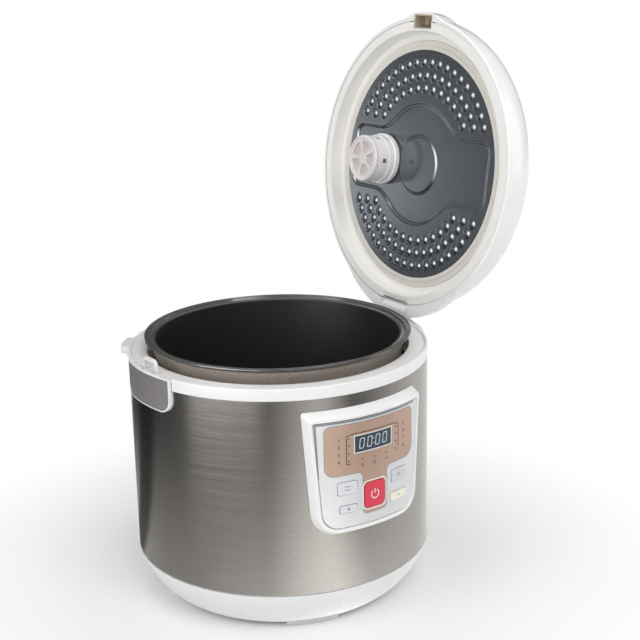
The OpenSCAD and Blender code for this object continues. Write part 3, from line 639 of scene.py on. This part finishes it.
def inner_plate_piece():
    """Stamped sheet: sunk hub and band, raised centre disc, three rows of drip bumps on each side."""
    rings, sectors = 114, 640
    radii = np.linspace(PLATE_R / rings, PLATE_R, rings)
    angles = np.linspace(0, 2 * pi, sectors, endpoint=False)
    r, a = np.meshgrid(radii, angles, indexing="ij")
    u, v = r * np.cos(a), r * np.sin(a)
    z = plate_height(u, v)
    bm = bmesh.new()
    grid = [[bm.verts.new((u[i, k], v[i, k], z[i, k])) for k in range(sectors)] for i in range(rings)]
    middle = bm.verts.new((0, 0, float(plate_height(np.zeros(1), np.zeros(1))[0])))
    for k in range(sectors):
        bm.faces.new((middle, grid[0][k], grid[0][(k + 1) % sectors]))
    for i in range(rings - 1):
        for k in range(sectors):
            j = (k + 1) % sectors
            mid_u = (u[i, k] + u[i + 1, j]) / 2
            mid_v = (v[i, k] + v[i + 1, j]) / 2
            if mid_u ** 2 + (mid_v - VALVE_Y) ** 2 > VALVE_HOLE_R ** 2:
                bm.faces.new((grid[i][k], grid[i + 1][k], grid[i + 1][j], grid[i][j]))
    bmesh.ops.delete(bm, geom=[p for p in bm.verts if not p.link_faces], context="VERTS")
    border = [e for e in bm.edges if len(e.link_faces) == 1]
    wall = bmesh.ops.extrude_edge_only(bm, edges=border)
    for p in wall["geom"]:
        if isinstance(p, bmesh.types.BMVert):
            p.co.z = PLATE_BACK_Z
    back = [e for e in wall["geom"] if isinstance(e, bmesh.types.BMEdge) and len(e.link_faces) == 1]
    bmesh.ops.triangle_fill(bm, edges=back, use_beauty=False)
    bmesh.ops.transform(bm, matrix=FROM_CLOSED_LID, verts=bm.verts)
    piece = finish_mesh(bm, "inner_plate_sheet", slate, "lid", 50)
    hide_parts("inner_plate")


inner_plate_piece()

# ---------- screen and window of the valve, filler at the lid's rim ----------

SCREEN_R, SCREEN_LOW, SCREEN_HIGH = 20.3, 228.7, 229.2
VALVE_WINDOW_RADII, VALVE_WINDOW_HEIGHTS = (23.38, 23.46), (235.4, 239.6)
VALVE_WINDOW_ANGLES = (-95.4, -84.6)
RIM_SEAM_RADII, RIM_SEAM_HEIGHTS = (140.7, 141.3), (244.15, 245.6)
RIM_SEAMS = (("rim_seam_back", (11, 172)), ("rim_seam_front", (188, 349)))


def valve_screen():
    """Thin disc in the valve cap, behind the openings of its face."""
    bm = bmesh.new()
    bmesh.ops.create_cone(bm, cap_ends=True, segments=72, radius1=SCREEN_R, radius2=SCREEN_R,
                          depth=SCREEN_HIGH - SCREEN_LOW)
    move = Matrix.Translation((0, VALVE_Y, (SCREEN_LOW + SCREEN_HIGH) / 2))
    bmesh.ops.transform(bm, matrix=FROM_CLOSED_LID @ move, verts=bm.verts)
    finish_mesh(bm, "valve_screen", milky_pink, "lid")


def lid_arc(name, radii, heights, angles, steps, material, centre_y=0):
    """Bar bent round an upright axis of the closed lid; angles in degrees from the hinge."""
    bm = bmesh.new()
    inner, outer = radii
    low, high = heights
    corners = ((inner, low), (outer, low), (outer, high), (inner, high))
    turns = [radians(angles[0] + (angles[1] - angles[0]) * k / steps) for k in range(steps + 1)]
    rows = [[bm.verts.new((r * cos(a), centre_y + r * sin(a), z)) for a in turns] for r, z in corners]
    for row, other in zip(rows, rows[1:] + rows[:1]):
        for k in range(steps):
            bm.faces.new((row[k], row[k + 1], other[k + 1], other[k]))
    for k in (0, steps):
        bm.faces.new([row[k] for row in rows])
    bmesh.ops.transform(bm, matrix=FROM_CLOSED_LID, verts=bm.verts)
    finish_mesh(bm, name, material, "lid")


valve_screen()
lid_arc("valve_window", VALVE_WINDOW_RADII, VALVE_WINDOW_HEIGHTS, VALVE_WINDOW_ANGLES, 6, window_brown,
        centre_y=VALVE_Y)
for name, angles in RIM_SEAMS:
    lid_arc(name, RIM_SEAM_RADII, RIM_SEAM_HEIGHTS, angles, 72, cream)

# ---------- silver face of the latch button, seam at the back of the sleeve ----------

LATCH_HALF_TURN, LATCH_MARGIN = radians(15.5), 1.9
LATCH_LOW, LATCH_HIGH = 211.2, 241.2
LATCH_CORNERS = (11.3 * MM, 11.3 * MM, 0.6 * MM, 0.6 * MM)
LATCH_SKIN, LATCH_SINK = 0.08 * MM, 0.02 * MM
SLEEVE_LOW, SLEEVE_HIGH, SEAM_HALF = 46, 231.5, 2.2
SEAM_THICK, SEAM_SINK = 0.35 * MM, 0.1 * MM


def latch_face():
    """Silver skin inside the button's white rim, with large lower corners."""
    half = LATCH_R * sin(LATCH_HALF_TURN) / MM - LATCH_MARGIN
    outline = round_path(rect(-half, LATCH_LOW, half, LATCH_HIGH), LATCH_CORNERS, 10)
    panel_sheet("latch_face", [outline], LATCH_SKIN, latch_silver, body="latch",
                base_r=LATCH_R, lift=-LATCH_SINK, place=on_latch)


def sleeve_seam():
    """Strip where the ends of the sleeve's sheet meet."""
    panel_sheet("sleeve_seam", [rect(-SEAM_HALF, SLEEVE_LOW, SEAM_HALF, SLEEVE_HIGH)], SEAM_THICK,
                sleeve_steel, base_r=SLEEVE_R, lift=-SEAM_SINK, place=on_back)


latch_face()
sleeve_seam()

# ---------- films and prints of the control panel ----------

FILM_RISE = 0.10 * MM
PRINT_RISE = 0.06 * MM
RIM_RISE = 0.25 * MM
DOT_RISE = 0.15 * MM
LINE_WIDTH = 0.7 * MM
# x, z and half width and height of the openings, in millimetres
START_HOLE = (0.6, 136.4, 11.8, 12.5)
WINDOW_HOLE = (0, 187.4, 20.3, 8.3)
HOLE_DEPTH = 8
# places of the indicator dots and menu numbers: columns beside the window, a row under it
DOT_R, SIDE_Z, ROW_X = 0.75, (194.0, 187.2, 180.0, 172.8), (-12.5, 0, 14)
DOTS_X, DOTS_ROW_Z = (-26.0, 26.2), 172.2
NUMBERS_X, NUMBERS_ROW_Z = (-35.5, 36.5), 166.6
SIDE_HEIGHT, ROW_HEIGHT = 3.6, 3.4


def copper_outline():
    """T-shaped film: a wide wing round the display and a stem down to the start key."""
    corners = metres([(-12.5, 119), (15, 119), (15, 160), (49, 160), (49, 208), (-49, 208), (-49, 160),
                      (-12.5, 160)])
    return round_path(corners, [r * MM for r in (5, 5, 5, 11, 6, 6, 9, 5)])


def cutter_box(x, z, half_width, half_height):
    """Box through the panel's face, to cut an opening with."""
    bm = bmesh.new()
    bmesh.ops.create_cube(bm, size=1)
    centre = Vector((x * MM, -OVERLAY_R, z * MM))
    size = Vector((2 * half_width, HOLE_DEPTH, 2 * half_height)) * MM
    bmesh.ops.transform(bm, matrix=Matrix.LocRotScale(centre, None, size), verts=bm.verts)
    mesh = bpy.data.meshes.new("cutter")
    bm.to_mesh(mesh)
    bm.free()
    cutter = bpy.data.objects.new("cutter", mesh)
    bpy.context.collection.objects.link(cutter)
    return cutter


def decor_film():
    """Copper film with openings for the window and the start key, and a grey line along its edge."""
    piece = panel_sheet("decor_film", [copper_outline()], FILM_RISE, copper_film)
    cutters = [cutter_box(*hole) for hole in (START_HOLE, WINDOW_HOLE)]
    for cutter in cutters:
        cut = piece.modifiers.new("opening", "BOOLEAN")
        cut.operation = "DIFFERENCE"
        cut.solver = "EXACT"
        cut.object = cutter
    graph = bpy.context.evaluated_depsgraph_get()
    mesh = bpy.data.meshes.new_from_object(piece.evaluated_get(graph))
    piece.modifiers.clear()
    piece.data = mesh
    for cutter in cutters:
        bpy.data.objects.remove(cutter)
    panel_sheet("decor_film_edge", loop_band(copper_outline(), 0.5 * MM), PRINT_RISE, print_grey,
                lift=FILM_RISE)


def overlay_edges():
    """Painted shadow of the bezel's edge: dark strips along the overlay's left and upper edges."""
    left = metres([(-57.1, 210.9), (-55.4, 210.9), (-53.2, 160), (-53.9, 160)])
    panel_sheet("painted_shadow_left", [left], PRINT_RISE, bezel_shadow_film)
    top = rect(-55.2, 209.4, 52, 210.9)
    panel_sheet("painted_shadow_top", [top], PRINT_RISE, bezel_shadow_film)


def rims():
    """White rim round the display window and round the start key."""
    window = loop_band(round_path(rect(-20.9, 178.9, 20.9, 195.9), 0.6 * MM), 0.75 * MM)
    panel_sheet("window_rim", window, RIM_RISE, print_white, lift=FILM_RISE)
    start = loop_band(round_path(rect(-12.9, 122.2, 14.1, 150.6), 5.2 * MM), 1.0 * MM)
    panel_sheet("start_key_rim", start, RIM_RISE, print_white, lift=FILM_RISE)


def menu_bracket():
    """Printed lines over the window and down both sides of it."""
    left = metres([(-22, 197.8), (-28.3, 196.4), (-28.3, 170.4), (-24.5, 169.3)])
    right = metres([(22, 197.8), (29.4, 196.2), (29.4, 174.5)])
    chains = (left, right, [left[0], right[0]])
    strips = [strip for chain in chains for strip in line_strips(chain, LINE_WIDTH)]
    for k, strip in enumerate(strips):
        panel_sheet(f"bracket_line_{k}", [strip], PRINT_RISE, print_brown, lift=FILM_RISE)


def indicator_dots():
    """Small dots beside and under the window."""
    dots = [disc(x, z, DOT_R) for x in DOTS_X for z in SIDE_Z]
    dots += [disc(x, DOTS_ROW_Z, DOT_R) for x in ROW_X]
    panel_sheet("indicator_dots", dots, DOT_RISE, print_dark, lift=FILM_RISE)


# the font's size over the height of its numerals
FONT_SCALE = 1.35


def menu_number(number, x, z, height):
    """Plain printed number, centred on a place of the panel given in millimetres."""
    curve = bpy.data.curves.new("numeral", "FONT")
    curve.body = str(number)
    curve.align_x = "CENTER"
    curve.align_y = "CENTER"
    curve.size = height * MM * FONT_SCALE
    holder = bpy.data.objects.new("numeral", curve)
    bpy.context.collection.objects.link(holder)
    graph = bpy.context.evaluated_depsgraph_get()
    graph.update()
    bm = bmesh.new()
    bm.from_mesh(bpy.data.meshes.new_from_object(holder.evaluated_get(graph)))
    bpy.data.objects.remove(holder)
    for v in bm.verts:
        v.co = Vector((v.co.x + x * MM, 0, v.co.y + z * MM))
    bend_sheet(bm, PRINT_RISE, OVERLAY_R + FILM_RISE, on_panel)
    finish_mesh(bm, f"menu_number_{number}", print_brown, "base")


decor_film()
overlay_edges()
rims()
menu_bracket()
indicator_dots()
for k, z in enumerate(SIDE_Z, 1):
    for x, before in zip(NUMBERS_X, (0, len(SIDE_Z))):
        menu_number(before + k, x, z, SIDE_HEIGHT)
for number, x in enumerate(ROW_X, 2 * len(SIDE_Z) + 1):
    menu_number(number, x, NUMBERS_ROW_Z, ROW_HEIGHT)

# ---------- display digits ----------

DIGIT_W, DIGIT_H, STROKE, SLANT, STROKE_GAP = 4.4, 9.2, 0.85, 0.12, 0.25
DIGITS_X = (-12.6, -4.4, 4.4, 12.6)
COLON_RISE, COLON_R = 2.2, 0.5
DIGIT_THICK, WINDOW_SINK = 0.05 * MM, 0.1 * MM


def zero_strips(x, z):
    """The six strokes of a seven-segment zero, leaning a little."""
    w, h, s, gap = DIGIT_W / 2, DIGIT_H / 2, STROKE / 2, STROKE_GAP
    strokes = [(-w + gap, end - s, w - gap, end + s) for end in (h, -h)]
    strokes += [(side - s, low, side + s, high) for side in (-w, w)
                for low, high in ((gap, h - gap), (-h + gap, -gap))]
    strips = []
    for x0, z0, x1, z1 in strokes:
        corners = ((x0, z0), (x1, z0), (x1, z1), (x0, z1))
        strips.append(metres([(x + px + SLANT * pz, z + pz) for px, pz in corners]))
    return strips


def display_digits():
    """Four zeros with a colon on the dark window."""
    middle = WINDOW_HOLE[1]
    digits = [strip for x in DIGITS_X for strip in zero_strips(x, middle)]
    digits += [disc(0, middle + dz, COLON_R, 10) for dz in (-COLON_RISE, COLON_RISE)]
    panel_sheet("display_digits", digits, DIGIT_THICK, digit_pale, lift=-WINDOW_SINK)


display_digits()

# ---------- plain marks on the keys ----------

KEY_RISE = 0.6 * MM
BAR_LENGTH, BAR_WIDTH = 4.0, 0.8


def key_mark(name, node, strips, material):
    """Thin raised marks on a key's face; they travel with the key."""
    panel_sheet(name, strips, PRINT_RISE, material, body=body_of_node(node),
                lift=KEY_RISE)


def power_sign(x, z, r, width):
    """An open ring with a short bar through its gap."""
    start, sweep, steps = radians(-235), radians(290), 20
    strips = []
    for k in range(steps):
        a, b = start + sweep * k / steps, start + sweep * (k + 1) / steps
        corners = ((r, a), (r, b), (r + width, b), (r + width, a))
        strips.append(metres([(x + q * cos(t), z + q * sin(t)) for q, t in corners]))
    strips.append(rect(x - width / 2, z + r * 0.25, x + width / 2, z + r * 1.35))
    return strips


def plus_sign(x, z):
    """A level bar with a shorter one above it and one below."""
    arm = (BAR_LENGTH - BAR_WIDTH) / 2
    uprights = [bar(x, z + side * (BAR_WIDTH + arm) / 2, BAR_WIDTH, arm) for side in (-1, 1)]
    return [bar(x, z, BAR_LENGTH, BAR_WIDTH)] + uprights


key_mark("start_mark", "key_start", power_sign(0.6, 136.2, 3.6, 0.9), print_white)
key_mark("plus_mark", "key_right_upper", plus_sign(29.4, 147.0), print_grey)
key_mark("minus_mark", "key_right_lower", [bar(29.0, 126.6, BAR_LENGTH, BAR_WIDTH)], print_grey)
key_mark("timer_mark", "key_left_upper", [bar(-27.7, z, 5.4, 0.7) for z in (149.15, 146.05)], print_grey)
key_mark("stop_mark", "key_left_lower", [bar(-27.0, 127.6, 2.4, 2.4)], print_grey)

# ---------- floor, light and camera ----------

# Gloss sees a studio of its own. Its zones have soft edges, in degrees from -Y towards +X.
AMBIENT = 0.40
BEHIND_DIM, CARD_GAIN, LOW_CARD_GAIN = -0.28, 2.6, 2.4
CARD_RISE, CARD_FALL = (-114, -102), (-54, -40)
SIDE_LEVEL, FLAG_DIM, BAND_GAIN, FAR_GAIN = 0.95, -0.75, 0.8, 1.8

FLOOR, FLOOR_Z = 4.0, -0.0004
FADE_START, FADE_END = 0.16, 0.42


def gloss_floor(n, x, y):
    """What gloss sees of the floor: bright to the right, dim in front, a dark flag at the back left."""
    away = n.away(x, y)
    angle = n.compass(x, y)
    front = n.times(n.remap(away, 0.85, 0.13, 0.22, 0.60), n.remap(angle, 0.62, 1.35, -78, -22))
    side = n.remap(angle, 0.0, 1.0, 20, 75)
    level = n.plus(n.times(front, n.math("SUBTRACT", 1.0, side)), n.times(side, SIDE_LEVEL))
    flag = n.between(angle, (-160, -156), (-137, -131))
    level = n.times(level, n.plus(1.0, n.times(flag, FLAG_DIM)))
    band = n.times(n.between(angle, (-42, -10), (-3, 17)), BAND_GAIN)
    far_left = n.times(n.between(angle, (-104, -94), CARD_FALL), n.remap(away, 0.0, FAR_GAIN, 0.8, 1.2))
    return n.plus(level, band, far_left)


def floor_material():
    """Pale floor that keeps the shadow near the object and fades to white far off."""
    n = Nodes("pale_floor")
    n.set(Base_Color=(0.93, 0.93, 0.93), Roughness=0.8)
    x, y, z = n.split(n.place())
    fade = n.remap(n.away(x, y), 0, 1, FADE_START, FADE_END)
    path = n.node("ShaderNodeLightPath").outputs
    white = n.node("ShaderNodeEmission", {"Color": (1.0, 1.0, 1.0), "Strength": 1.0})
    seen = n.node("ShaderNodeMixShader", {0: n.times(fade, path["Is Camera Ray"]),
                                          1: n.shader.outputs[0], 2: white.outputs[0]})
    level = gloss_floor(n, x, y)
    mirrored = n.node("ShaderNodeEmission", {"Color": (1.0, 0.985, 0.965), "Strength": level})
    gloss = n.node("ShaderNodeMixShader", {0: path["Is Glossy Ray"], 1: seen.outputs[0],
                                           2: mirrored.outputs[0]})
    n.put(n.tree.nodes["Material Output"].inputs["Surface"], gloss.outputs[0])
    return n.material


def floor_sheet():
    mesh = bpy.data.meshes.new("floor")
    corners = ((-FLOOR, -FLOOR), (FLOOR, -FLOOR), (FLOOR, FLOOR), (-FLOOR, FLOOR))
    mesh.from_pydata([(x, y, FLOOR_Z) for x, y in corners], [], [(0, 1, 2, 3)])
    sheet = link("floor", mesh, floor_material())


floor_sheet()


def lamp(name, place, aim, size, power):
    light = bpy.data.lights.new(name, "AREA")
    light.shape = "RECTANGLE"
    light.size, light.size_y = size
    light.energy = power
    holder = bpy.data.objects.new(name, light)
    holder.location = place
    holder.rotation_euler = (Vector(aim) - Vector(place)).to_track_quat("-Z", "Y").to_euler()
    bpy.context.collection.objects.link(holder)


lamp("key_softbox", (-0.2, -1.7, 1.9), (0, 0, 0.25), (1.6, 1.2), 22)
lamp("top_softbox", (0.1, 0.2, 2.3), (0, 0, 0.2), (2.0, 2.0), 12)
lamp("left_softbox", (-2.0, -0.2, 0.9), (0, 0, 0.25), (1.2, 1.8), 16)
lamp("right_softbox", (1.9, -1.1, 0.9), (0, 0, 0.25), (1.0, 1.6), 7)


def gloss_sky(n, direction):
    """What gloss sees around: a pale card at the left, a dim back and a low card at the back left."""
    x, y, z = n.split(direction)
    angle = n.compass(x, y)
    card = n.times(n.between(angle, CARD_RISE, CARD_FALL), n.between(z, (-0.02, 0.10), (0.70, 0.85)))
    behind = n.math("MAXIMUM", n.remap(angle, 1, 0, -136, -126), n.remap(angle, 0, 1, 110, 130))
    behind = n.times(behind, n.remap(z, 1, 0, 0.35, 0.60))
    low_card = n.times(n.between(angle, (-160, -154), (-143.5, -138.5)), n.remap(z, 1, 0, -0.02, 0.06))
    return n.plus(AMBIENT, n.times(behind, BEHIND_DIM), n.times(card, CARD_GAIN),
                  n.times(low_card, LOW_CARD_GAIN))


def world_light():
    """Even pale light; the camera sees white."""
    world = bpy.data.worlds.new("studio")
    bpy.context.scene.world = world
    world.use_nodes = True
    n = Nodes.of_tree(world.node_tree)
    level = gloss_sky(n, n.node("ShaderNodeTexCoord").outputs["Generated"])
    path = n.node("ShaderNodeLightPath").outputs
    ambient = n.node("ShaderNodeBackground", {"Color": (0.97, 0.98, 1.0), "Strength": AMBIENT})
    gloss = n.node("ShaderNodeBackground", {"Color": (1.0, 1.0, 1.0), "Strength": level})
    seen = n.node("ShaderNodeBackground", {"Color": (1.0, 1.0, 1.0), "Strength": 1.0})
    lit = n.node("ShaderNodeMixShader", {0: path["Is Glossy Ray"], 1: ambient.outputs[0],
                                         2: gloss.outputs[0]})
    shown = n.node("ShaderNodeMixShader", {0: path["Is Camera Ray"], 1: lit.outputs[0], 2: seen.outputs[0]})
    n.put(n.tree.nodes["World Output"].inputs["Surface"], shown.outputs[0])


world_light()

# the photo's camera, fitted to the ellipses of the pot's rim, sleeve, base and lid

CAMERA_PLACE = Vector((-0.64584, -1.00600, 0.60686))
CAMERA_RIGHT = Vector((0.818939, -0.573578, -0.018669))
CAMERA_UP = Vector((0.173316, 0.216182, 0.960847))
LENS_MM = 72.47
FRAME_SHIFT = -0.00125


def photo_camera():
    data = bpy.data.cameras.new("camera")
    data.sensor_width = 36
    data.sensor_fit = "HORIZONTAL"
    data.lens = LENS_MM
    data.shift_x = FRAME_SHIFT
    data.clip_start = 0.01
    camera = bpy.data.objects.new("camera", data)
    back = CAMERA_RIGHT.cross(CAMERA_UP)
    camera.matrix_world = Matrix((
        (CAMERA_RIGHT.x, CAMERA_UP.x, back.x, CAMERA_PLACE.x),
        (CAMERA_RIGHT.y, CAMERA_UP.y, back.y, CAMERA_PLACE.y),
        (CAMERA_RIGHT.z, CAMERA_UP.z, back.z, CAMERA_PLACE.z),
        (0, 0, 0, 1)))
    bpy.context.collection.objects.link(camera)
    bpy.context.scene.camera = camera


photo_camera()
bpy.context.scene.view_settings.view_transform = "Standard"

bpy.context.view_layer.update()
